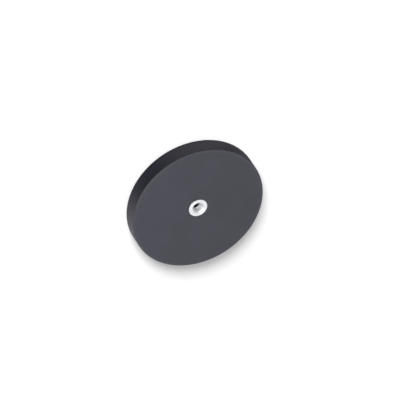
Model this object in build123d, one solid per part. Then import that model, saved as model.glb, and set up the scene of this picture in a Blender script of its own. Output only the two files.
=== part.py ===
from build123d import *
from build123d.topology import SkipClean
import math
import os

# A round rubber-coated holding magnet with a female thread.
#
# A steel plate carries disc magnets on its lower side and a riveted threaded bushing at its centre.
# A rubber jacket is moulded round all of it and is open only at the bushing's mouth.
# The working (magnetic) face lies on z = 0, the bushing's mouth is at the top, and +Z is the axis.
# All lengths are in millimetres.

# Jacket
JACKET_DIAMETER = 66.0
JACKET_EDGE_RADIUS = 0.4
RIM_WALL = 3.0  # rubber outside the plate's edge
WORKING_MEMBRANE = 1.0  # rubber between the magnets and the working face
TOP_COVER = 1.8  # rubber over the plate, which is also the bushing flange's thickness

# Steel plate
PLATE_THICKNESS = 3.0
PLATE_EDGE_CHAMFER = 0.3

# Magnets
MAGNET_DIAMETER = 8.0
MAGNET_HEIGHT = 3.0
MAGNET_CHAMFER = 0.2
POCKET_DEPTH = 0.3  # locating pocket in the plate's lower face
POCKET_CLEARANCE = 0.05  # on the radius
RING_EDGE_MARGIN = 3.0  # from the plate's edge to the outer ring of magnets
OUTER_RING_COUNT = 12  # even in each ring, so that the poles alternate all round
INNER_RING_COUNT = 6

# Thread, M6 x 1.0
THREAD_DIAMETER = 6.0
THREAD_PITCH = 1.0
THREAD_FLANK_ANGLE = 30.0  # from a flank to the plane across the axis
CREST_SHARE = 0.25  # of the pitch, at the minor diameter
ROOT_SHARE = 0.125  # of the pitch, at the major diameter
CUTTER_OVERLAP = 0.12  # how far the groove's cutter reaches inside the bore
BORE_SECTORS = 8  # the bore's wall is made of this many equal faces

# Bushing: each step is on the radius, outwards from the one before
RELIEF_STEP = 0.1  # thread to the plain counterbore under it
SPIGOT_WALL = 0.9  # counterbore to the spigot's outside
SPIGOT_CLEARANCE = 0.05  # spigot to the plate's hole
FLARE_STEP = 0.6  # spigot to the riveted flare's edge
FLANGE_STEP = 0.65  # spigot to the flange's edge
MOUTH_STEP = 0.1  # thread to the chamfered mouth's edge
FLANGE_CHAMFER = 0.15
FLARE_DEPTH = 0.6
MOUTH_ANGLE = 120.0  # included angle of the mouth's chamfer
RELIEF_DEPTH = 0.3  # the counterbore, which the jacket's rubber fills

# Heights, from the working face up
MAGNET_TOP = WORKING_MEMBRANE + MAGNET_HEIGHT
PLATE_BOTTOM = MAGNET_TOP - POCKET_DEPTH
PLATE_TOP = PLATE_BOTTOM + PLATE_THICKNESS
TOP_FACE = PLATE_TOP + TOP_COVER
THREAD_BOTTOM = PLATE_BOTTOM + RELIEF_DEPTH

# Radii that follow
PLATE_RADIUS = JACKET_DIAMETER / 2 - RIM_WALL
THREAD_RADIUS = THREAD_DIAMETER / 2
FLANK_SLOPE = math.tan(math.radians(THREAD_FLANK_ANGLE))
THREAD_DEPTH = (1 - CREST_SHARE - ROOT_SHARE) * THREAD_PITCH / 2 / FLANK_SLOPE
MINOR_RADIUS = THREAD_RADIUS - THREAD_DEPTH
MOUTH_RADIUS = THREAD_RADIUS + MOUTH_STEP
RELIEF_RADIUS = THREAD_RADIUS + RELIEF_STEP
SPIGOT_RADIUS = RELIEF_RADIUS + SPIGOT_WALL
PLATE_HOLE_RADIUS = SPIGOT_RADIUS + SPIGOT_CLEARANCE
FLARE_RADIUS = SPIGOT_RADIUS + FLARE_STEP
FLANGE_RADIUS = SPIGOT_RADIUS + FLANGE_STEP


def turned(*points):
    """Revolve a closed outline of (radius, height) points about the Z axis."""
    outline = [(r, 0, z) for r, z in points]
    face = make_face(Polyline(*outline, close=True))
    return revolve(face, axis=Axis.Z)


def disc(radius, bottom, top):
    """A plain cylinder on the Z axis between two heights."""
    cylinder = Cylinder(radius, top - bottom, align=(Align.CENTER, Align.CENTER, Align.MIN))
    return Pos(0, 0, bottom) * cylinder


def ring_places(name, radius, count, first_angle):
    """Node name and centre of each magnet in one ring, from its first one's angle in degrees."""
    places = []
    for index in range(count):
        angle = math.radians(first_angle + 360 * index / count)
        node = f"{name}_magnet_{index + 1:02d}"
        places.append((node, radius * math.cos(angle), radius * math.sin(angle)))
    return places


def magnet_places():
    """An outer ring near the plate's edge, and an inner one midway between it and the bushing."""
    outer_radius = PLATE_RADIUS - RING_EDGE_MARGIN - MAGNET_DIAMETER / 2
    inner_radius = (outer_radius - MAGNET_DIAMETER / 2 + FLARE_RADIUS) / 2
    outer = ring_places("outer", outer_radius, OUTER_RING_COUNT, 0)
    return outer + ring_places("inner", inner_radius, INNER_RING_COUNT, 180 / INNER_RING_COUNT)


def magnet_at(x, y):
    """One disc magnet, chamfered at both ends, standing on the working membrane."""
    body = disc(MAGNET_DIAMETER / 2, WORKING_MEMBRANE, MAGNET_TOP)
    body = chamfer(body.edges().filter_by(GeomType.CIRCLE), MAGNET_CHAMFER)
    return Pos(x, y, 0) * body


def plate_blank():
    """The steel plate before its hole and pockets are made."""
    blank = disc(PLATE_RADIUS, PLATE_BOTTOM, PLATE_TOP)
    return chamfer(blank.edges().filter_by(GeomType.CIRCLE), PLATE_EDGE_CHAMFER)


def steel_plate(places):
    """The plate with its countersunk centre hole and one locating pocket for each magnet."""
    hole = disc(PLATE_HOLE_RADIUS, PLATE_BOTTOM, PLATE_TOP)
    countersink = turned(
        (0, PLATE_BOTTOM),
        (FLARE_RADIUS, PLATE_BOTTOM),
        (PLATE_HOLE_RADIUS, PLATE_BOTTOM + FLARE_DEPTH),
        (0, PLATE_BOTTOM + FLARE_DEPTH),
    )
    plate = plate_blank() - hole - countersink
    pocket = disc(MAGNET_DIAMETER / 2 + POCKET_CLEARANCE, PLATE_BOTTOM, MAGNET_TOP)
    return plate - [Pos(x, y, 0) * pocket for _, x, y in places]


def bore_sector(index):
    """One wedge of the thread's minor bore."""
    angle = 360 / BORE_SECTORS
    wedge = Cylinder(
        MINOR_RADIUS,
        TOP_FACE - THREAD_BOTTOM,
        arc_size=angle,
        align=(Align.NONE, Align.NONE, Align.MIN),
    )
    return Pos(0, 0, THREAD_BOTTOM) * Rot(0, 0, index * angle) * wedge


def thread_turn(start):
    """The cutter for one turn of the thread's helical groove, from the height where it starts."""
    inner_radius = MINOR_RADIUS - CUTTER_OVERLAP
    root_half = ROOT_SHARE * THREAD_PITCH / 2
    inner_half = root_half + (THREAD_RADIUS - inner_radius) * FLANK_SLOPE
    path = Pos(0, 0, start) * Helix(THREAD_PITCH, THREAD_PITCH, THREAD_RADIUS)
    outline = [
        (inner_radius, 0, start - inner_half),
        (THREAD_RADIUS, 0, start - root_half),
        (THREAD_RADIUS, 0, start + root_half),
        (inner_radius, 0, start + inner_half),
    ]
    section = make_face(Polyline(*outline, close=True))
    # The joint between two turns lies in the middle of a bore sector.
    return Rot(0, 0, 180 / BORE_SECTORS) * sweep(section, path=path, is_frenet=True)


def bushing_blank():
    """The bushing before its bore and thread are cut: a flange, a spigot and a riveted flare."""
    flare_top = PLATE_BOTTOM + FLARE_DEPTH
    mouth_depth = (MOUTH_RADIUS - MINOR_RADIUS) / math.tan(math.radians(MOUTH_ANGLE / 2))
    mouth_bottom = TOP_FACE - mouth_depth
    return turned(
        (0, THREAD_BOTTOM),
        (RELIEF_RADIUS, THREAD_BOTTOM),
        (RELIEF_RADIUS, PLATE_BOTTOM),
        (FLARE_RADIUS, PLATE_BOTTOM),
        (PLATE_HOLE_RADIUS, flare_top),
        (SPIGOT_RADIUS, flare_top),
        (SPIGOT_RADIUS, PLATE_TOP),
        (FLANGE_RADIUS, PLATE_TOP),
        (FLANGE_RADIUS, TOP_FACE - FLANGE_CHAMFER),
        (FLANGE_RADIUS - FLANGE_CHAMFER, TOP_FACE),
        (MOUTH_RADIUS, TOP_FACE),
        (MINOR_RADIUS, mouth_bottom),
        (0, mouth_bottom),
    )


def threaded_bushing():
    """The bushing with its bore and its thread, which runs out into the mouth and the counterbore."""
    bushing = bushing_blank()
    turns = math.ceil((TOP_FACE - THREAD_BOTTOM) / THREAD_PITCH) + 2
    # The wall's faces stay apart, so that each crest is a row of short cylindrical faces.
    with SkipClean():
        for index in range(BORE_SECTORS):
            bushing = bushing - bore_sector(index)
        for turn in range(turns):
            bushing = bushing - thread_turn(THREAD_BOTTOM + (turn - 1) * THREAD_PITCH)
    return bushing


def rubber_jacket(magnets):
    """The moulding: a solid puck less everything inside it, with a plug in the bushing's relief."""
    puck = disc(JACKET_DIAMETER / 2, 0, TOP_FACE)
    puck = fillet(puck.edges().filter_by(GeomType.CIRCLE), JACKET_EDGE_RADIUS)
    mouth = disc(FLANGE_RADIUS, PLATE_TOP, TOP_FACE)
    jacket = puck - plate_blank() - mouth - magnets
    return jacket + disc(RELIEF_RADIUS, PLATE_BOTTOM, THREAD_BOTTOM)


def build():
    """All the parts, by node name."""
    places = magnet_places()
    parts = {name: magnet_at(x, y) for name, x, y in places}
    jacket = rubber_jacket(list(parts.values()))
    parts["rubber_jacket"] = jacket
    parts["steel_plate"] = steel_plate(places)
    parts["threaded_bushing"] = threaded_bushing()
    return parts


os.makedirs("parts", exist_ok=True)
for node, solid in build().items():
    export_step(solid, f"parts/{node}.step")
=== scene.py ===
"""Looks of a rubber-coated round holding magnet with a threaded bushing.

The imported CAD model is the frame. Each sub-assembly below is a class that reads its place from the
frame, casts its own finer mesh there, dresses it and puts it in the CAD nodes' stead.
"""

from __future__ import annotations

import logging
import math
from collections.abc import Mapping, Sequence
from dataclasses import dataclass
from enum import Enum

import bmesh
import bpy
from mathutils import Matrix, Vector


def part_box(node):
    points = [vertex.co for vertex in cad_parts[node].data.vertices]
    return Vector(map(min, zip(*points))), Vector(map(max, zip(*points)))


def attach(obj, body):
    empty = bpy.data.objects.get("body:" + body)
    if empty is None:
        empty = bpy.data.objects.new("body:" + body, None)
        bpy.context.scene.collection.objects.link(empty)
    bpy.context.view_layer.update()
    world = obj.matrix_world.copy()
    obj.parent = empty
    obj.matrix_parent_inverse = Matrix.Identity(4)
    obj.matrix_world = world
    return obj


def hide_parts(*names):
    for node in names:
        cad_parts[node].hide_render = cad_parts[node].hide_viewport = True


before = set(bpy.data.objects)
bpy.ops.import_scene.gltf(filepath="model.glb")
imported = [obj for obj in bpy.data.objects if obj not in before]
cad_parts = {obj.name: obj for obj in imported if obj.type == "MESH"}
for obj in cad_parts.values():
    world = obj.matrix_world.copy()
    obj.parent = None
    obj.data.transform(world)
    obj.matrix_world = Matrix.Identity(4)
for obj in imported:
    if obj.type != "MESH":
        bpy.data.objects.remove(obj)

LOG = logging.getLogger("holding_magnet")
BODY = "root"
MM = 0.001
WELD_DISTANCE = 0.001 * MM
FULL_TURN = 2.0 * math.pi

# Sizes that the bushing, the plate and the jacket share.
RIVET_HOLE_RADIUS = 4.05 * MM
FLARE_RADIUS = 4.6 * MM
FLARE_DEPTH = 0.6 * MM
RELIEF_RADIUS = 3.1 * MM
RELIEF_DEPTH = 0.3 * MM

Colour = tuple[float, float, float]
Outline = list[tuple[float, float]]
Value = object


class Slot(Enum):
    """The record's material slots."""

    RUBBER = "black_rubber"
    PLATE = "plate_steel"
    ZINC = "zinc_plated_steel"
    MAGNET = "nickel_plated_magnet"


# ---------------------------------------------------------------- node trees


class NodeBench:
    """Adds nodes to one tree and joins them; numbers and sockets are given alike."""

    def __init__(self, tree: bpy.types.NodeTree) -> None:
        """Takes over an empty tree.

        Args:
            tree: the shader or geometry tree to fill.
        """
        self.tree = tree

    def feed(self, socket: bpy.types.NodeSocket, value: Value) -> None:
        """Links a socket to another one, or sets its own value.

        Args:
            socket: the input to feed.
            value: an output socket, or a plain value.
        """
        if isinstance(value, bpy.types.NodeSocket):
            self.tree.links.new(value, socket)
        else:
            socket.default_value = value

    def add(
        self, kind: str, inputs: Mapping[str | int, Value] | None = None, **settings: Value
    ) -> bpy.types.Node:
        """Adds one node.

        Args:
            kind: the node's type name.
            inputs: what goes into its sockets, by name or number.
            **settings: the node's own properties.

        Returns:
            The new node.
        """
        node = self.tree.nodes.new(kind)
        for name, value in settings.items():
            setattr(node, name, value)
        for key, value in (inputs or {}).items():
            self.feed(node.inputs[key], value)
        return node

    def math(self, operation: str, *values: Value, clamp: bool = False) -> bpy.types.NodeSocket:
        """Adds a Math node and returns its result.

        Args:
            operation: the node's operation.
            *values: its one to three inputs.
            clamp: whether the result is kept from 0 to 1.

        Returns:
            The result socket.
        """
        node = self.add("ShaderNodeMath", dict(enumerate(values)), operation=operation, use_clamp=clamp)
        return node.outputs[0]

    def ramp(
        self, value: Value, low: float, high: float, start: Value = 0.0, end: Value = 1.0
    ) -> bpy.types.NodeSocket:
        """Adds a smooth step from one value to another.

        Args:
            value: what is read.
            low: where the step starts.
            high: where the step ends.
            start: the result below the step.
            end: the result above the step.

        Returns:
            The result socket.
        """
        names = {"Value": value, "From Min": low, "From Max": high, "To Min": start, "To Max": end}
        return self.add("ShaderNodeMapRange", names, interpolation_type="SMOOTHSTEP").outputs[0]


class ShapeTree(NodeBench):
    """A Geometry Nodes tree with named inputs, which ends in one real mesh with its finish set."""

    def __init__(self, name: str) -> None:
        """Starts an empty tree that takes an outline and gives a mesh.

        Args:
            name: the tree's name.
        """
        super().__init__(bpy.data.node_groups.new(name, "GeometryNodeTree"))
        self.faces = self.tree.interface
        self.faces.new_socket("Geometry", in_out="INPUT", socket_type="NodeSocketGeometry")
        self.faces.new_socket("Geometry", in_out="OUTPUT", socket_type="NodeSocketGeometry")
        self.entry = self.add("NodeGroupInput")
        self.exit = self.add("NodeGroupOutput")

    def ask(self, name: str, kind: str = "Float") -> bpy.types.NodeSocket:
        """Adds a named input.

        Args:
            name: the input's name.
            kind: Float, Int, Vector or Material.

        Returns:
            The socket that gives it inside the tree.
        """
        self.faces.new_socket(name, in_out="INPUT", socket_type="NodeSocket" + kind)
        return self.entry.outputs[name]

    def outline(self) -> bpy.types.NodeSocket:
        """Returns the geometry that the tree is given."""
        return self.entry.outputs["Geometry"]

    def spot(self, x: Value = 0.0, y: Value = 0.0, z: Value = 0.0) -> bpy.types.NodeSocket:
        """Joins three numbers into a point."""
        return self.add("ShaderNodeCombineXYZ", {"X": x, "Y": y, "Z": z}).outputs[0]

    def parts_of(self, vector: Value) -> bpy.types.bpy_prop_collection:
        """Splits a point into its x, y and z sockets."""
        return self.add("ShaderNodeSeparateXYZ", {0: vector}).outputs

    def place(self, geometry: Value, position: Value) -> bpy.types.NodeSocket:
        """Moves every point of a geometry to a worked-out position."""
        return self.add("GeometryNodeSetPosition", {"Geometry": geometry, "Position": position}).outputs[0]

    def weld(self, geometry: Value) -> bpy.types.NodeSocket:
        """Merges points that lie on each other."""
        names = {"Geometry": geometry, "Distance": WELD_DISTANCE}
        return self.add("GeometryNodeMergeByDistance", names).outputs[0]

    def turn(self, outline: Value, segments: Value) -> bpy.types.NodeSocket:
        """Turns an outline in the XZ plane about the Z axis, as on a lathe.

        Args:
            outline: a wire whose x is the radius.
            segments: the number of steps round the axis.

        Returns:
            The turned surface, not yet welded at the axis.
        """
        hub = 10.0 * MM
        at = self.parts_of(self.add("GeometryNodeInputPosition").outputs[0])
        outward = self.math("SUBTRACT", at["X"], hub)
        downward = self.math("MULTIPLY", at["Z"], -1.0)
        section = self.place(outline, self.spot(outward, downward))
        wire = self.add("GeometryNodeMeshToCurve", {"Mesh": section}).outputs[0]
        circle = {"Resolution": segments, "Radius": hub}
        ring = self.add("GeometryNodeCurvePrimitiveCircle", circle).outputs[0]
        return self.add("GeometryNodeCurveToMesh", {"Curve": ring, "Profile Curve": wire}).outputs[0]

    def ring_points(self, count: Value, radius: Value, first: Value) -> bpy.types.NodeSocket:
        """Spaces points evenly round the Z axis.

        Args:
            count: how many points there are.
            radius: their distance from the axis.
            first: the first point's angle in radians.

        Returns:
            The points.
        """
        step = self.math("DIVIDE", FULL_TURN, count)
        angle = self.math("MULTIPLY_ADD", self.add("GeometryNodeInputIndex").outputs[0], step, first)
        x = self.math("MULTIPLY", self.math("COSINE", angle), radius)
        y = self.math("MULTIPLY", self.math("SINE", angle), radius)
        return self.add("GeometryNodePoints", {"Count": count, "Position": self.spot(x, y)}).outputs[0]

    def finish(self, geometry: Value, sharp_angle: Value, material: Value) -> None:
        """Ends the tree: one real mesh, smooth but for its sharp edges, with its material set.

        Args:
            geometry: the finished surface.
            sharp_angle: edges that turn by more than this stay sharp.
            material: the finish.
        """
        real = self.add("GeometryNodeRealizeInstances", {"Geometry": geometry}).outputs[0]
        names = {"Geometry": real, "Shade Smooth": True}
        smooth = self.add("GeometryNodeSetShadeSmooth", names, domain="FACE").outputs[0]
        bend = self.add("GeometryNodeInputMeshEdgeAngle").outputs["Unsigned Angle"]
        sharp = self.math("GREATER_THAN", bend, sharp_angle)
        names = {"Geometry": smooth, "Selection": sharp, "Shade Smooth": False}
        edged = self.add("GeometryNodeSetShadeSmooth", names, domain="EDGE").outputs[0]
        dressed = self.add("GeometryNodeSetMaterial", {"Geometry": edged, "Material": material}).outputs[0]
        self.feed(self.exit.inputs[0], dressed)


def wire_mesh(name: str, outline: Outline, closed: bool) -> bpy.types.Mesh:
    """Makes an outline's points into a wire in the XZ plane.

    Args:
        name: the mesh's name.
        outline: radius and height of each point, in metres.
        closed: whether the last point joins the first.

    Returns:
        The wire.
    """
    mesh = bpy.data.meshes.new(name)
    edges = [(i, i + 1) for i in range(len(outline) - 1)]
    if closed:
        edges.append((len(outline) - 1, 0))
    mesh.from_pydata([(r, 0.0, z) for r, z in outline], edges, [])
    return mesh


def cast(
    name: str, shape: ShapeTree, sizes: Mapping[str, Value], blank: bpy.types.Mesh
) -> bpy.types.Object:
    """Runs a shape tree and keeps its result as a plain mesh with outward faces.

    Args:
        name: the piece's name.
        shape: the tree to run.
        sizes: its named inputs.
        blank: the mesh that goes into it.

    Returns:
        The piece's object, at the origin.
    """
    mould = bpy.data.objects.new(name + "_mould", blank)
    bpy.context.scene.collection.objects.link(mould)
    modifier = mould.modifiers.new("shape", "NODES")
    modifier.node_group = shape.tree
    for item in shape.tree.interface.items_tree:
        if item.in_out == "INPUT" and item.name in sizes:
            modifier[item.identifier] = sizes[item.name]
    bpy.context.view_layer.update()
    mesh = bpy.data.meshes.new_from_object(mould.evaluated_get(bpy.context.evaluated_depsgraph_get()))
    bpy.data.objects.remove(mould)
    mesh.name = name
    shell = bmesh.new()
    shell.from_mesh(mesh)
    bmesh.ops.dissolve_degenerate(shell, edges=shell.edges, dist=WELD_DISTANCE / 10.0)
    bmesh.ops.recalc_face_normals(shell, faces=shell.faces)
    shell.to_mesh(mesh)
    shell.free()
    piece = bpy.data.objects.new(name, mesh)
    bpy.context.scene.collection.objects.link(piece)
    return piece


def settle(piece: bpy.types.Object, slot: Slot, *nodes: str) -> None:
    """Puts a finished piece in its CAD nodes' stead.

    Args:
        piece: the piece, in place.
        slot: the material slot that the piece stands for; not used.
        *nodes: the CAD nodes that it stands for.
    """
    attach(piece, BODY)
    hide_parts(*nodes)
    LOG.info("%s: %d faces, for %s", piece.name, len(piece.data.polygons), ", ".join(nodes))


# ---------------------------------------------------------------- finishes


class Shade(NodeBench):
    """A new material's shader tree, with its Principled shader and the nodes that most finishes use."""

    def __init__(self, name: str) -> None:
        """Starts a material.

        Args:
            name: the material's name.
        """
        self.material = bpy.data.materials.new(name)
        self.material.use_nodes = True
        super().__init__(self.material.node_tree)
        self.shader = self.tree.nodes["Principled BSDF"]
        self.at = self.add("ShaderNodeTexCoord").outputs["Object"]
        split = self.add("ShaderNodeSeparateXYZ", {0: self.at}).outputs
        self.x = split["X"]
        self.y = split["Y"]
        self.z = split["Z"]

    def radius(self) -> bpy.types.NodeSocket:
        """Returns the distance from the Z axis."""
        squares = self.math("MULTIPLY_ADD", self.x, self.x, self.math("MULTIPLY", self.y, self.y))
        return self.math("SQRT", squares)

    def noise(
        self, scale: float, detail: float = 2.0, rough: float = 0.5, at: Value | None = None
    ) -> bpy.types.NodeSocket:
        """Adds a noise texture.

        Args:
            scale: cells per metre.
            detail: octaves.
            rough: the finer octaves' share.
            at: where it is read, or None for Object coordinates.

        Returns:
            The noise's value.
        """
        place = self.at if at is None else at
        names = {"Vector": place, "Scale": scale, "Detail": detail, "Roughness": rough}
        return self.add("ShaderNodeTexNoise", names).outputs[0]

    def mix(self, first: Value, second: Value, share: Value) -> bpy.types.NodeSocket:
        """Mixes two colours.

        Args:
            first: the colour at share 0.
            second: the colour at share 1.
            share: how much of the second shows.

        Returns:
            The mixed colour.
        """
        node = self.add("ShaderNodeMix", data_type="RGBA")
        self.feed(node.inputs["Factor"], share)
        for socket, colour in zip((node.inputs[6], node.inputs[7]), (first, second)):
            self.feed(socket, (*colour, 1.0) if isinstance(colour, tuple) else colour)
        return node.outputs[2]

    def bump(
        self, height: Value, depth: float, strength: float, under: Value | None = None
    ) -> bpy.types.NodeSocket:
        """Adds a bump node.

        Args:
            height: what is raised, from 0 to 1.
            depth: its height in metres.
            strength: how much of it shows.
            under: another bump's normal, below this one.

        Returns:
            The normal.
        """
        node = self.add("ShaderNodeBump", {"Height": height, "Distance": depth, "Strength": strength})
        if under is not None:
            self.feed(node.inputs["Normal"], under)
        return node.outputs[0]

    def dress(self, **sockets: Value) -> bpy.types.Material:
        """Feeds the shader's sockets by name, with _ for a space, and returns the material."""
        for name, value in sockets.items():
            self.feed(self.shader.inputs[name.replace("_", " ")], value)
        return self.material


@dataclass(frozen=True)
class MouldedRubber:
    """Black rubber from a sandblasted mould: matt, faintly cloudy, paler on its edges from rubbed wear and
    a painted edge highlight.
    """

    name: str = "moulded_black_rubber"
    deep: Colour = (0.033, 0.0325, 0.050)
    pale: Colour = (0.040, 0.0395, 0.0585)
    # Paler edge colour: rubbed wear plus a painted edge highlight.
    rubbed_and_highlit: Colour = (0.052, 0.052, 0.071)
    # Painted shade: near black for the rubber deep in the bushing's bore.
    painted_bore_shade: Colour = (0.008, 0.008, 0.011)
    cloud_scale: float = 90.0
    grain_scale: float = 4200.0
    grain_depth: float = 0.012 * MM
    ripple_scale: float = 700.0
    ripple_depth: float = 0.010 * MM

    def material(self, outer: float, top: float, edge: float, bore: float) -> bpy.types.Material:
        """Makes the material.

        Args:
            outer: the jacket's radius.
            top: the jacket's height.
            edge: how far the paler zone, rubbed wear with a painted edge highlight, reaches from an edge.
            bore: the radius of the rubber that closes the bushing's bore, which is painted dark as shade in
                the recess.

        Returns:
            The material.
        """
        shade = Shade(self.name)
        cloud = shade.noise(self.cloud_scale, 4.0, 0.6)
        grain = shade.noise(self.grain_scale, 3.0, 0.55)
        ripple = shade.noise(self.ripple_scale, 2.0, 0.5)
        body = shade.mix(self.deep, self.pale, shade.ramp(cloud, 0.30, 0.70))
        speck = shade.mix(body, self.pale, shade.ramp(grain, 0.55, 0.80, 0.0, 0.5))
        near_rim = shade.ramp(shade.radius(), outer - edge, outer - edge / 4.0)
        height = shade.math("ABSOLUTE", shade.math("SUBTRACT", shade.z, top / 2.0))
        near_face = shade.ramp(height, top / 2.0 - edge / 5.0, top / 2.0)
        # Paler band along the face edges: partly rubbed wear, partly a painted edge highlight.
        on_edge = shade.math("MULTIPLY", near_rim, near_face)
        wear_and_highlight = shade.math("MULTIPLY", on_edge, shade.ramp(ripple, 0.35, 0.65, 0.45, 1.0))
        worn_and_highlit = shade.mix(speck, self.rubbed_and_highlit, wear_and_highlight)
        # Painted shade: the rubber that closes the bore is darkened as the recess shades it.
        in_bore = shade.ramp(shade.radius(), bore, 1.1 * bore, 1.0, 0.0)
        bore_shade_share = shade.math("MULTIPLY", in_bore, shade.ramp(shade.z, top / 4.0, top / 3.0))
        colour = shade.mix(worn_and_highlit, self.painted_bore_shade, bore_shade_share)
        rough = shade.ramp(cloud, 0.25, 0.75, 0.40, 0.48)
        low = shade.bump(ripple, self.ripple_depth, 0.35)
        normal = shade.bump(grain, self.grain_depth, 0.55, low)
        return shade.dress(Base_Color=colour, Roughness=rough, Normal=normal, IOR=1.5)


@dataclass(frozen=True)
class ZincPlate:
    """Bright zinc over turned steel: near white, with fine rings left by the lathe."""

    name: str = "turned_zinc_plate"
    bright: Colour = (0.93, 0.945, 0.97)
    dull: Colour = (0.82, 0.83, 0.855)
    ring_scale: float = 9000.0
    ring_depth: float = 0.004 * MM
    blot_scale: float = 900.0

    def material(self) -> bpy.types.Material:
        """Makes the material.

        Returns:
            The material.
        """
        shade = Shade(self.name)
        across = shade.add("ShaderNodeCombineXYZ", {"X": shade.radius(), "Y": shade.z}).outputs[0]
        rings = shade.noise(self.ring_scale, 2.0, 0.6, across)
        blots = shade.noise(self.blot_scale, 3.0, 0.6)
        colour = shade.mix(self.bright, self.dull, shade.ramp(blots, 0.35, 0.75, 0.0, 0.8))
        rough = shade.math("MULTIPLY_ADD", rings, 0.10, shade.ramp(blots, 0.3, 0.7, 0.27, 0.37))
        normal = shade.bump(rings, self.ring_depth, 0.35)
        return shade.dress(Base_Color=colour, Metallic=1.0, Roughness=rough, Normal=normal)


@dataclass(frozen=True)
class NickelPlate:
    """Bright nickel over a sintered magnet: warm grey, slightly pitted."""

    name: str = "nickel_plate"
    bright: Colour = (0.70, 0.66, 0.59)
    dull: Colour = (0.58, 0.55, 0.50)
    pit_scale: float = 3000.0
    pit_depth: float = 0.006 * MM

    def material(self) -> bpy.types.Material:
        """Makes the material.

        Returns:
            The material.
        """
        shade = Shade(self.name)
        pits = shade.noise(self.pit_scale, 3.0, 0.6)
        blots = shade.noise(self.pit_scale / 10.0, 3.0)
        colour = shade.mix(self.bright, self.dull, shade.ramp(blots, 0.35, 0.7))
        rough = shade.ramp(pits, 0.3, 0.7, 0.20, 0.32)
        normal = shade.bump(pits, self.pit_depth, 0.4)
        return shade.dress(Base_Color=colour, Metallic=1.0, Roughness=rough, Normal=normal)


@dataclass(frozen=True)
class RolledSteel:
    """Cold-rolled plate: grey, with long fine streaks along the sheet."""

    name: str = "rolled_plate_steel"
    bright: Colour = (0.50, 0.50, 0.52)
    dull: Colour = (0.36, 0.36, 0.37)
    streak_scale: float = 5000.0
    streak_stretch: float = 0.03
    streak_depth: float = 0.008 * MM

    def material(self) -> bpy.types.Material:
        """Makes the material.

        Returns:
            The material.
        """
        shade = Shade(self.name)
        stretch = {"Vector": shade.at, "Scale": (self.streak_stretch, 1.0, 1.0)}
        along = shade.add("ShaderNodeMapping", stretch).outputs[0]
        streaks = shade.noise(self.streak_scale, 3.0, 0.6, along)
        blots = shade.noise(self.streak_scale / 40.0, 4.0)
        colour = shade.mix(self.bright, self.dull, shade.ramp(blots, 0.3, 0.7))
        rough = shade.ramp(streaks, 0.25, 0.75, 0.34, 0.50)
        normal = shade.bump(streaks, self.streak_depth, 0.5)
        return shade.dress(Base_Color=colour, Metallic=1.0, Roughness=rough, Normal=normal)


@dataclass(frozen=True)
class FloorPaint:
    """The studio floor's matt white, seen from above only."""

    name: str = "white_studio_floor"
    white: Colour = (0.70, 0.70, 0.70)
    off_white: Colour = (0.69, 0.69, 0.69)
    cloud_scale: float = 4.0

    def material(self) -> bpy.types.Material:
        """Makes the material.

        Returns:
            The material.
        """
        shade = Shade(self.name)
        cloud = shade.noise(self.cloud_scale, 2.0)
        shade.dress(Base_Color=shade.mix(self.white, self.off_white, cloud), Roughness=0.9)
        clear = shade.add("ShaderNodeBsdfTransparent").outputs[0]
        under = shade.add("ShaderNodeNewGeometry").outputs["Backfacing"]
        both = shade.add("ShaderNodeMixShader", {0: under, 1: shade.shader.outputs[0], 2: clear}).outputs[0]
        shade.feed(shade.tree.nodes["Material Output"].inputs["Surface"], both)
        return shade.material


# ---------------------------------------------------------------- shapes


def arc(centre: tuple[float, float], radius: float, start: float, end: float, steps: int) -> Outline:
    """Lists the points of an arc, ends included.

    Args:
        centre: its centre's radius and height.
        radius: its own radius.
        start: the first point's angle in degrees.
        end: the last point's angle in degrees.
        steps: how many straight runs it has.

    Returns:
        The points.
    """
    angles = [math.radians(start + (end - start) * i / steps) for i in range(steps + 1)]
    return [(centre[0] + radius * math.cos(a), centre[1] + radius * math.sin(a)) for a in angles]


def turned_tree() -> ShapeTree:
    """Builds the tree for a plainly turned piece.

    Returns:
        The tree, with inputs Segments, Shift, Sharp Angle and Finish.
    """
    tree = ShapeTree("turned_piece")
    segments = tree.ask("Segments", "Int")
    shift = tree.ask("Shift", "Vector")
    sharp = tree.ask("Sharp Angle")
    finish = tree.ask("Finish", "Material")
    surface = tree.weld(tree.turn(tree.outline(), segments))
    moved = tree.add("GeometryNodeTransform", {"Geometry": surface, "Translation": shift}).outputs[0]
    tree.finish(moved, sharp, finish)
    return tree


def pocketed_tree() -> ShapeTree:
    """Builds the tree for a turned piece with two rings of round pockets cut out of it.

    Returns:
        The tree, with inputs for the turning, the rings and the pockets.
    """
    tree = ShapeTree("pocketed_piece")
    segments = tree.ask("Segments", "Int")
    rings = []
    for side in ("Outer", "Inner"):
        count = tree.ask(f"{side} Count", "Int")
        radius = tree.ask(f"{side} Ring Radius")
        first = tree.ask(f"{side} First Angle")
        rings.append(tree.ring_points(count, radius, first))
    names = {
        "Vertices": tree.ask("Pocket Segments", "Int"),
        "Radius": tree.ask("Pocket Radius"),
        "Depth": tree.ask("Pocket Depth"),
    }
    cutter = tree.add("GeometryNodeMeshCylinder", names).outputs[0]
    lift = {"Geometry": cutter, "Translation": tree.ask("Pocket Centre", "Vector")}
    raised = tree.add("GeometryNodeTransform", lift).outputs[0]
    sharp = tree.ask("Sharp Angle")
    finish = tree.ask("Finish", "Material")
    both = tree.add("GeometryNodeJoinGeometry")
    for ring in rings:
        tree.tree.links.new(ring, both.inputs[0])
    spread = {"Points": both.outputs[0], "Instance": raised}
    cutters = tree.add("GeometryNodeInstanceOnPoints", spread).outputs[0]
    real = tree.add("GeometryNodeRealizeInstances", {"Geometry": cutters}).outputs[0]
    body = tree.weld(tree.turn(tree.outline(), segments))
    meshes = {"Mesh 1": body, "Mesh 2": real}
    cut = tree.add("GeometryNodeMeshBoolean", meshes, operation="DIFFERENCE", solver="EXACT")
    tree.finish(tree.weld(cut.outputs[0]), sharp, finish)
    return tree


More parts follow.
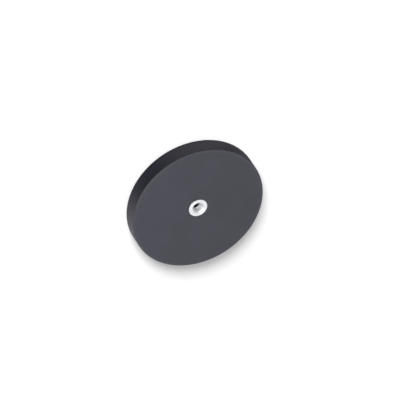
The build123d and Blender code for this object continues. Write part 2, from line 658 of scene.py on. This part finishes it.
def tapped_tree() -> ShapeTree:
    """Builds the tree for a turned piece with a real screw thread in its bore.

    The thread is a sheet rolled round the axis. Its rows follow the helix, so that crest and root stay
    sharp, and its first row is the counterbore's wall, where the outline ends.

    Returns:
        The tree, with inputs for the turning and the thread.
    """
    tree = ShapeTree("tapped_piece")
    segments = tree.ask("Segments", "Int")
    pitch = tree.ask("Pitch")
    rows_per_pitch = tree.ask("Rows Per Pitch", "Int")
    minor = tree.ask("Minor Radius")
    major = tree.ask("Major Radius")
    root_half = tree.ask("Root Half Share")
    crest_half = tree.ask("Crest Half Share")
    bottom = tree.ask("Thread Bottom")
    top = tree.ask("Thread Top")
    relief = tree.ask("Relief Radius")
    mouth = tree.ask("Mouth Radius")
    slope = tree.ask("Mouth Slope")
    start_turn = tree.ask("Start Turn")
    sharp = tree.ask("Sharp Angle")
    finish = tree.ask("Finish", "Material")

    row_step = tree.math("DIVIDE", pitch, rows_per_pitch)
    height = tree.math("SUBTRACT", top, bottom)
    rows = tree.math("ADD", tree.math("CEIL", tree.math("DIVIDE", height, row_step)), rows_per_pitch)
    row_count = tree.math("ADD", rows, 3.0)
    names = {
        "Size X": 1.0,
        "Size Y": 1.0,
        "Vertices X": tree.math("ADD", segments, 1.0),
        "Vertices Y": row_count,
    }
    sheet = tree.add("GeometryNodeMeshGrid", names).outputs[0]
    at = tree.parts_of(tree.add("GeometryNodeInputPosition").outputs[0])
    turn = tree.math("ADD", at["X"], 0.5)
    row_share = tree.math("ADD", at["Y"], 0.5)
    row = tree.math("ROUND", tree.math("MULTIPLY", row_share, tree.math("SUBTRACT", row_count, 1.0)))
    climb = tree.math("MULTIPLY", tree.math("ADD", turn, tree.math("SUBTRACT", start_turn, 1.0)), pitch)
    first_z = tree.math("ADD", bottom, climb)
    free_z = tree.math("MULTIPLY_ADD", tree.math("SUBTRACT", row, 1.0), row_step, first_z)
    z = tree.math("MINIMUM", tree.math("MAXIMUM", free_z, bottom), top)
    lead = tree.math("ADD", turn, start_turn)
    travel = tree.math("SUBTRACT", tree.math("DIVIDE", tree.math("SUBTRACT", z, bottom), pitch), lead)
    phase = tree.math("FRACT", tree.math("ADD", travel, 0.5))
    from_groove = tree.math("ABSOLUTE", tree.math("SUBTRACT", phase, 0.5))
    flank = {
        "Value": from_groove,
        "From Min": root_half,
        "From Max": tree.math("SUBTRACT", 0.5, crest_half),
        "To Min": major,
        "To Max": minor,
    }
    thread = tree.add("ShaderNodeMapRange", flank, interpolation_type="LINEAR").outputs[0]
    cone = tree.math("SUBTRACT", mouth, tree.math("MULTIPLY", tree.math("SUBTRACT", top, z), slope))
    bore = tree.math("MAXIMUM", thread, cone)
    is_first = tree.math("LESS_THAN", row, 0.5)
    radius = tree.math("MULTIPLY_ADD", is_first, tree.math("SUBTRACT", relief, bore), bore)
    at_bottom = tree.math("MULTIPLY_ADD", is_first, tree.math("SUBTRACT", bottom, z), z)
    angle = tree.math("MULTIPLY", turn, FULL_TURN)
    x = tree.math("MULTIPLY", tree.math("COSINE", angle), radius)
    y = tree.math("MULTIPLY", tree.math("SINE", angle), radius)
    thread_sheet = tree.place(sheet, tree.spot(x, y, at_bottom))
    both = tree.add("GeometryNodeJoinGeometry")
    for surface in (tree.turn(tree.outline(), segments), thread_sheet):
        tree.tree.links.new(surface, both.inputs[0])
    tree.finish(tree.weld(both.outputs[0]), sharp, finish)
    return tree


# ---------------------------------------------------------------- sub-assemblies


@dataclass
class MagnetRings:
    """The two rings of disc magnets that sit between the plate and the working face."""

    finish: NickelPlate
    outer_count: int = 12
    inner_count: int = 6
    edge_radius: float = 0.2 * MM
    edge_steps: int = 4
    segments: int = 64
    sharp_angle: float = 40.0

    def nodes(self, ring: str, count: int) -> list[str]:
        """Lists a ring's CAD node names."""
        return [f"{ring}_magnet_{number:02d}" for number in range(1, count + 1)]

    def middle(self, node: str) -> Vector:
        """Finds a magnet's centre from its CAD node."""
        low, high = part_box(node)
        return (low + high) / 2.0

    def place(self, ring: str, count: int) -> tuple[float, float]:
        """Finds a ring's radius and the angle of its first magnet.

        Args:
            ring: outer or inner.
            count: how many magnets it has.

        Returns:
            The ring's radius and first angle, in metres and radians.
        """
        first = self.middle(self.nodes(ring, count)[0])
        return math.hypot(first.x, first.y), math.atan2(first.y, first.x)

    def outline(self, low: Vector, high: Vector) -> Outline:
        """Draws half of a magnet's section, with rounded edges.

        Args:
            low: the lowest corner of the magnet's box.
            high: the highest corner of the magnet's box.

        Returns:
            The section, about the magnet's own axis.
        """
        radius = (high.x - low.x) / 2.0
        soft = self.edge_radius
        under = arc((radius - soft, low.z + soft), soft, -90.0, 0.0, self.edge_steps)
        over = arc((radius - soft, high.z - soft), soft, 0.0, 90.0, self.edge_steps)
        return [(0.0, low.z), *under, *over, (0.0, high.z)]

    def build(self, tree: ShapeTree) -> None:
        """Casts every magnet.

        Args:
            tree: the tree for plainly turned pieces.
        """
        material = self.finish.material()
        for ring, count in (("outer", self.outer_count), ("inner", self.inner_count)):
            for number, node in enumerate(self.nodes(ring, count), start=1):
                low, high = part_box(node)
                centre = self.middle(node)
                sizes = {
                    "Segments": self.segments,
                    "Shift": (centre.x, centre.y, 0.0),
                    "Sharp Angle": math.radians(self.sharp_angle),
                    "Finish": material,
                }
                blank = wire_mesh("magnet_outline", self.outline(low, high), closed=False)
                settle(cast(f"disc_magnet_{ring}_{number:02d}", tree, sizes, blank), Slot.MAGNET, node)

    def pocket_sizes(self, low: float, high: float, slack: float) -> dict[str, Value]:
        """Gives the pocket inputs of a piece that holds the magnets.

        Args:
            low: the pockets' lowest height.
            high: the pockets' highest height.
            slack: how much wider than a magnet they are, on the radius.

        Returns:
            The tree's inputs by name.
        """
        outer_radius, outer_first = self.place("outer", self.outer_count)
        inner_radius, inner_first = self.place("inner", self.inner_count)
        magnet_low, magnet_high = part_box(self.nodes("outer", self.outer_count)[0])
        return {
            "Outer Count": self.outer_count,
            "Outer Ring Radius": outer_radius,
            "Outer First Angle": outer_first,
            "Inner Count": self.inner_count,
            "Inner Ring Radius": inner_radius,
            "Inner First Angle": inner_first,
            "Pocket Segments": self.segments,
            "Pocket Radius": (magnet_high.x - magnet_low.x) / 2.0 + slack,
            "Pocket Depth": high - low,
            "Pocket Centre": (0.0, 0.0, (low + high) / 2.0),
        }


@dataclass
class SteelPlate:
    """The round plate that carries the magnets, countersunk for the bushing's flare."""

    finish: RolledSteel
    hole_radius: float = RIVET_HOLE_RADIUS
    flare_radius: float = FLARE_RADIUS
    flare_depth: float = FLARE_DEPTH
    edge_chamfer: float = 0.3 * MM
    pocket_depth: float = 0.3 * MM
    pocket_slack: float = 0.05 * MM
    pocket_reach: float = 1.0 * MM
    segments: int = 192
    sharp_angle: float = 30.0

    def outline(self) -> Outline:
        """Draws half of the plate's section.

        Returns:
            The section's points.
        """
        low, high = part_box("steel_plate")
        radius = high.x
        cut = self.edge_chamfer
        return [
            (self.flare_radius, low.z),
            (radius - cut, low.z),
            (radius, low.z + cut),
            (radius, high.z - cut),
            (radius - cut, high.z),
            (self.hole_radius, high.z),
            (self.hole_radius, low.z + self.flare_depth),
        ]

    def build(self, tree: ShapeTree, magnets: MagnetRings) -> None:
        """Casts the plate with its magnet pockets.

        Args:
            tree: the tree for pocketed pieces.
            magnets: the rings that it holds.
        """
        low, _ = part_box("steel_plate")
        start = low.z - self.pocket_reach
        end = low.z + self.pocket_depth
        sizes = magnets.pocket_sizes(start, end, self.pocket_slack)
        sizes |= {
            "Segments": self.segments,
            "Sharp Angle": math.radians(self.sharp_angle),
            "Finish": self.finish.material(),
        }
        blank = wire_mesh("plate_outline", self.outline(), closed=True)
        settle(cast("countersunk_plate", tree, sizes, blank), Slot.PLATE, "steel_plate")


@dataclass
class ThreadedBushing:
    """The bushing riveted into the plate: flange, spigot, flare, and its threaded bore."""

    finish: ZincPlate
    pitch: float = 1.0 * MM
    minor_radius: float = 2.4587 * MM
    major_radius: float = 3.0 * MM
    crest_share: float = 0.25
    root_share: float = 0.125
    start_turn: float = -0.0625
    relief_radius: float = RELIEF_RADIUS
    relief_depth: float = RELIEF_DEPTH
    mouth_radius: float = 3.1 * MM
    mouth_angle: float = 120.0
    spigot_radius: float = 4.0 * MM
    flare_inner: float = RIVET_HOLE_RADIUS
    flare_outer: float = FLARE_RADIUS
    flare_depth: float = FLARE_DEPTH
    flange_chamfer: float = 0.15 * MM
    groove_radii: tuple[float, float] = (3.45 * MM, 3.85 * MM)
    groove_depth: float = 0.09 * MM
    groove_steps: int = 8
    segments: int = 128
    sharp_angle: float = 30.0
    rows_per_pitch: int = 32

    def outline(self) -> Outline:
        """Draws the section from the mouth over the flange and down to the counterbore.

        Returns:
            The section's points.
        """
        low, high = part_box("threaded_bushing")
        plate_low, plate_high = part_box("steel_plate")
        radius = high.x
        top = high.z
        cut = self.flange_chamfer
        inner, outer = self.groove_radii
        groove = []
        for step in range(self.groove_steps + 1):
            share = step / self.groove_steps
            dip = self.groove_depth * math.sin(math.pi * share) ** 2
            groove.append((inner + (outer - inner) * share, top - dip))
        return [
            (self.mouth_radius, top),
            *groove,
            *arc((radius - cut, top - cut), cut, 90.0, 0.0, 4),
            (radius, plate_high.z),
            (self.spigot_radius, plate_high.z),
            (self.spigot_radius, plate_low.z + self.flare_depth),
            (self.flare_inner, plate_low.z + self.flare_depth),
            (self.flare_outer, low.z),
            (self.relief_radius, low.z),
            (self.relief_radius, low.z + self.relief_depth),
        ]

    def build(self, tree: ShapeTree) -> None:
        """Casts the bushing with its thread.

        Args:
            tree: the tree for tapped pieces.
        """
        low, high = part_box("threaded_bushing")
        sizes = {
            "Segments": self.segments,
            "Pitch": self.pitch,
            "Rows Per Pitch": self.rows_per_pitch,
            "Minor Radius": self.minor_radius,
            "Major Radius": self.major_radius,
            "Root Half Share": self.root_share / 2.0,
            "Crest Half Share": self.crest_share / 2.0,
            "Thread Bottom": low.z + self.relief_depth,
            "Thread Top": high.z,
            "Relief Radius": self.relief_radius,
            "Mouth Radius": self.mouth_radius,
            "Mouth Slope": math.tan(math.radians(self.mouth_angle / 2.0)),
            "Start Turn": self.start_turn,
            "Sharp Angle": math.radians(self.sharp_angle),
            "Finish": self.finish.material(),
        }
        blank = wire_mesh("bushing_outline", self.outline(), closed=False)
        settle(cast("turned_bushing", tree, sizes, blank), Slot.ZINC, "threaded_bushing")


@dataclass
class RubberJacket:
    """The moulded rubber jacket: rim, working face, top face, and the hollow that holds the rest."""

    finish: MouldedRubber
    edge_radius: float = 0.4 * MM
    edge_steps: int = 10
    support: float = 0.06 * MM
    parting_height: float = 1.1 * MM
    parting_width: float = 0.16 * MM
    parting_proud: float = 0.03 * MM
    lip_radius: float = 0.12 * MM
    plug_radius: float = RELIEF_RADIUS
    plug_depth: float = RELIEF_DEPTH
    flare_radius: float = FLARE_RADIUS
    hollow_chamfer: float = 0.3 * MM
    # Reach of the paler edge band: rubbed wear plus a painted edge highlight.
    wear_and_highlight_reach: float = 2.0 * MM
    lip_steps: int = 4
    segments: int = 256
    sharp_angle: float = 40.0

    def parting_line(self, wall: float) -> Outline:
        """Draws the faint ridge that the mould's halves leave on the rim.

        Args:
            wall: the rim's radius.

        Returns:
            The ridge's points, from low to high.
        """
        half = self.parting_width / 2.0
        middle = self.parting_height
        return [
            (wall, middle - half),
            (wall + self.parting_proud, middle - half / 4.0),
            (wall + self.parting_proud, middle + half / 4.0),
            (wall, middle + half),
        ]

    def outline(self) -> Outline:
        """Draws half of the jacket's section, from the working face's middle to the plug's.

        Returns:
            The section's points.
        """
        low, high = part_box("rubber_jacket")
        plate_low, plate_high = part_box("steel_plate")
        _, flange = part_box("threaded_bushing")
        wall = high.x - self.parting_proud
        soft = self.edge_radius
        tight = self.support
        lip = self.lip_radius
        cut = self.hollow_chamfer
        return [
            (0.0, low.z),
            (flange.x, low.z),
            (wall - soft - tight, low.z),
            *arc((wall - soft, low.z + soft), soft, -90.0, 0.0, self.edge_steps),
            (wall, low.z + soft + tight),
            *self.parting_line(wall),
            (wall, high.z - soft - tight),
            *arc((wall - soft, high.z - soft), soft, 0.0, 90.0, self.edge_steps),
            (wall - soft - tight, high.z),
            (flange.x + lip + tight, high.z),
            *arc((flange.x + lip, high.z - lip), lip, 90.0, 180.0, self.lip_steps),
            (flange.x, plate_high.z),
            (plate_high.x - cut, plate_high.z),
            (plate_high.x, plate_high.z - cut),
            (plate_high.x, plate_low.z + cut),
            (plate_high.x - cut, plate_low.z),
            (self.flare_radius, plate_low.z),
            (self.plug_radius, plate_low.z),
            (self.plug_radius, plate_low.z + self.plug_depth),
            (0.0, plate_low.z + self.plug_depth),
        ]

    def build(self, tree: ShapeTree, magnets: MagnetRings) -> None:
        """Casts the jacket with the hollows for its magnets.

        Args:
            tree: the tree for pocketed pieces.
            magnets: the rings that it holds.
        """
        low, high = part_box("rubber_jacket")
        plate_low, plate_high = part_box("steel_plate")
        magnet_low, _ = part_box(magnets.nodes("outer", magnets.outer_count)[0])
        middle = (plate_low.z + plate_high.z) / 2.0
        sizes = magnets.pocket_sizes(magnet_low.z, middle, 0.0)
        sizes |= {
            "Segments": self.segments,
            "Sharp Angle": math.radians(self.sharp_angle),
            "Finish": self.finish.material(high.x, high.z, self.wear_and_highlight_reach, self.plug_radius),
        }
        blank = wire_mesh("jacket_outline", self.outline(), closed=False)
        settle(cast("moulded_jacket", tree, sizes, blank), Slot.RUBBER, "rubber_jacket")


# ---------------------------------------------------------------- studio


@dataclass(frozen=True)
class Softbox:
    """A round soft light that faces the object: angles in degrees, lengths in metres, power in watts."""

    name: str
    bearing: float
    height: float
    distance: float
    size: float
    power: float

    def hang(self) -> bpy.types.Object:
        """Hangs the light in the scene.

        Returns:
            The light.
        """
        turn = math.radians(self.bearing)
        rise = math.radians(self.height)
        level = math.cos(rise)
        toward = Vector((math.cos(turn) * level, math.sin(turn) * level, math.sin(rise)))
        data = bpy.data.lights.new(self.name, "AREA")
        data.shape = "DISK"
        data.size = self.size
        data.energy = self.power
        light = bpy.data.objects.new(self.name, data)
        light.location = toward * self.distance
        light.rotation_euler = toward.to_track_quat("Z", "Y").to_euler()
        light.visible_camera = False
        bpy.context.scene.collection.objects.link(light)
        return light


@dataclass(frozen=True)
class Glow:
    """A brighter stretch of the low surroundings: its direction, its two ends and its strength."""

    toward: tuple[float, float]
    start: float
    full: float
    strength: float


@dataclass
class Studio:
    """The floor, two soft lights and the pale surroundings."""

    floor_half: float = 3.0
    floor_drop: float = 0.02 * MM
    key: Softbox = Softbox("key_softbox", bearing=264.0, height=29.6, distance=4.0, size=2.1, power=350.0)
    top: Softbox = Softbox("top_softbox", bearing=315.0, height=55.0, distance=0.20, size=0.26, power=0.21)
    sky_dark: float = 0.12
    sky_bright: float = 0.93
    sky_lean: float = 0.8
    sky_ramp: tuple[float, float] = (0.1, 0.7)
    sky_sides: float = 0.45
    side_ramp: tuple[float, float] = (0.50, 0.95)
    horizon: float = 0.10
    ground: float = 0.005
    glows: tuple[Glow, ...] = (
        Glow(toward=(-0.75, -0.66), start=0.35, full=0.7, strength=0.7),
        Glow(toward=(0.8, 0.6), start=0.2, full=0.8, strength=0.9),
        Glow(toward=(-0.5, 0.87), start=0.45, full=0.75, strength=0.25),
    )
    backdrop: float = 1.0

    def floor(self) -> bpy.types.Object:
        """Lays the floor, just under the working face.

        Returns:
            The floor, which only the camera sees.
        """
        mesh = bpy.data.meshes.new("studio_floor")
        half = self.floor_half
        corners = [(-half, -half), (half, -half), (half, half), (-half, half)]
        mesh.from_pydata([(x, y, -self.floor_drop) for x, y in corners], [], [(0, 1, 2, 3)])
        mesh.materials.append(FloorPaint().material())
        floor = bpy.data.objects.new("studio_floor", mesh)
        bpy.context.scene.collection.objects.link(floor)
        floor.visible_diffuse = False
        floor.visible_glossy = False
        floor.visible_transmission = False
        floor.visible_shadow = False
        return floor

    def surroundings(self) -> None:
        """Paints the world: bright overhead, dark low down towards the camera; the camera sees white."""
        world = bpy.data.worlds.new("studio_surroundings")
        world.use_nodes = True
        bench = NodeBench(world.node_tree)
        toward = bench.add("ShaderNodeTexCoord").outputs["Object"]
        split = bench.add("ShaderNodeSeparateXYZ", {0: toward}).outputs
        lean = bench.math("MULTIPLY_ADD", split["Y"], self.sky_lean, split["Z"])
        dome = bench.ramp(lean, *self.sky_ramp, self.sky_dark, self.sky_bright)
        aside = bench.ramp(bench.math("ABSOLUTE", split["X"]), *self.side_ramp, 1.0, self.sky_sides)
        sky = bench.math("MULTIPLY", dome, aside)
        ground: Value = self.ground
        for glow in self.glows:
            along_y = bench.math("MULTIPLY", split["Y"], glow.toward[1])
            along = bench.math("MULTIPLY_ADD", split["X"], glow.toward[0], along_y)
            ground = bench.math("ADD", ground, bench.ramp(along, glow.start, glow.full, 0.0, glow.strength))
        above = bench.ramp(split["Z"], -self.horizon, self.horizon)
        light = bench.math("MULTIPLY_ADD", above, bench.math("SUBTRACT", sky, ground), ground)
        direct = bench.add("ShaderNodeLightPath").outputs["Is Camera Ray"]
        seen = bench.math("MULTIPLY_ADD", direct, bench.math("SUBTRACT", self.backdrop, light), light)
        background = world.node_tree.nodes["Background"]
        bench.feed(background.inputs["Color"], seen)
        bpy.context.scene.world = world

    def build(self) -> None:
        """Sets up the studio; the key light reaches only the floor, and the top light all but the floor."""
        floor = self.floor()
        key = self.key.hang()
        lit = bpy.data.collections.new("lit_by_key")
        lit.objects.link(floor)
        key.light_linking.receiver_collection = lit
        top = self.top.hang()
        unlit = bpy.data.collections.new("unlit_by_top")
        unlit.objects.link(floor)
        unlit.collection_objects[0].light_linking.link_state = "EXCLUDE"
        top.light_linking.receiver_collection = unlit
        self.surroundings()
        view = bpy.context.scene.view_settings
        view.view_transform = "Standard"
        view.look = "None"
        LOG.info("studio: floor, two softboxes and surroundings")


@dataclass
class StillCamera:
    """The camera: long lens, looking down on the top face, rolled.

    The offset is how far the top face's middle lies right of and below the view's middle.
    """

    lens: float = 900.0
    sensor: float = 36.0
    distance: float = 4.698
    height: float = 47.58
    roll: float = 146.12
    offset: tuple[float, float] = (-0.86913 * MM, 3.7584 * MM)
    reach: float = 30.0

    def build(self) -> None:
        """Makes the scene's camera, with the top face's middle where the offset puts it."""
        _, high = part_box("rubber_jacket")
        height = math.radians(self.height)
        roll = math.radians(self.roll)
        forward = Vector((0.0, math.cos(height), -math.sin(height)))
        level = Vector((1.0, 0.0, 0.0))
        rise = level.cross(forward)
        right = math.cos(roll) * level + math.sin(roll) * rise
        up = math.cos(roll) * rise - math.sin(roll) * level
        across, down = self.offset
        target = Vector((0.0, 0.0, high.z))
        data = bpy.data.cameras.new("still_camera")
        data.lens = self.lens
        data.sensor_width = self.sensor
        data.clip_end = self.reach
        camera = bpy.data.objects.new("still_camera", data)
        turn = Matrix((right, up, -forward)).transposed().to_4x4()
        spot = target - forward * self.distance - right * across + up * down
        camera.matrix_world = Matrix.Translation(spot) @ turn
        bpy.context.scene.collection.objects.link(camera)
        bpy.context.scene.camera = camera
        LOG.info("camera: %.0f mm lens at %.3f m", self.lens, self.distance)


def main() -> None:
    """Builds the studio, the camera and every sub-assembly."""
    logging.basicConfig(level=logging.INFO, format="%(message)s")
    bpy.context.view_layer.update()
    StillCamera().build()
    Studio().build()
    turned = turned_tree()
    pocketed = pocketed_tree()
    magnets = MagnetRings(NickelPlate())
    magnets.build(turned)
    SteelPlate(RolledSteel()).build(pocketed, magnets)
    ThreadedBushing(ZincPlate()).build(tapped_tree())
    RubberJacket(MouldedRubber()).build(pocketed, magnets)


if __name__ == "__main__":
    main()
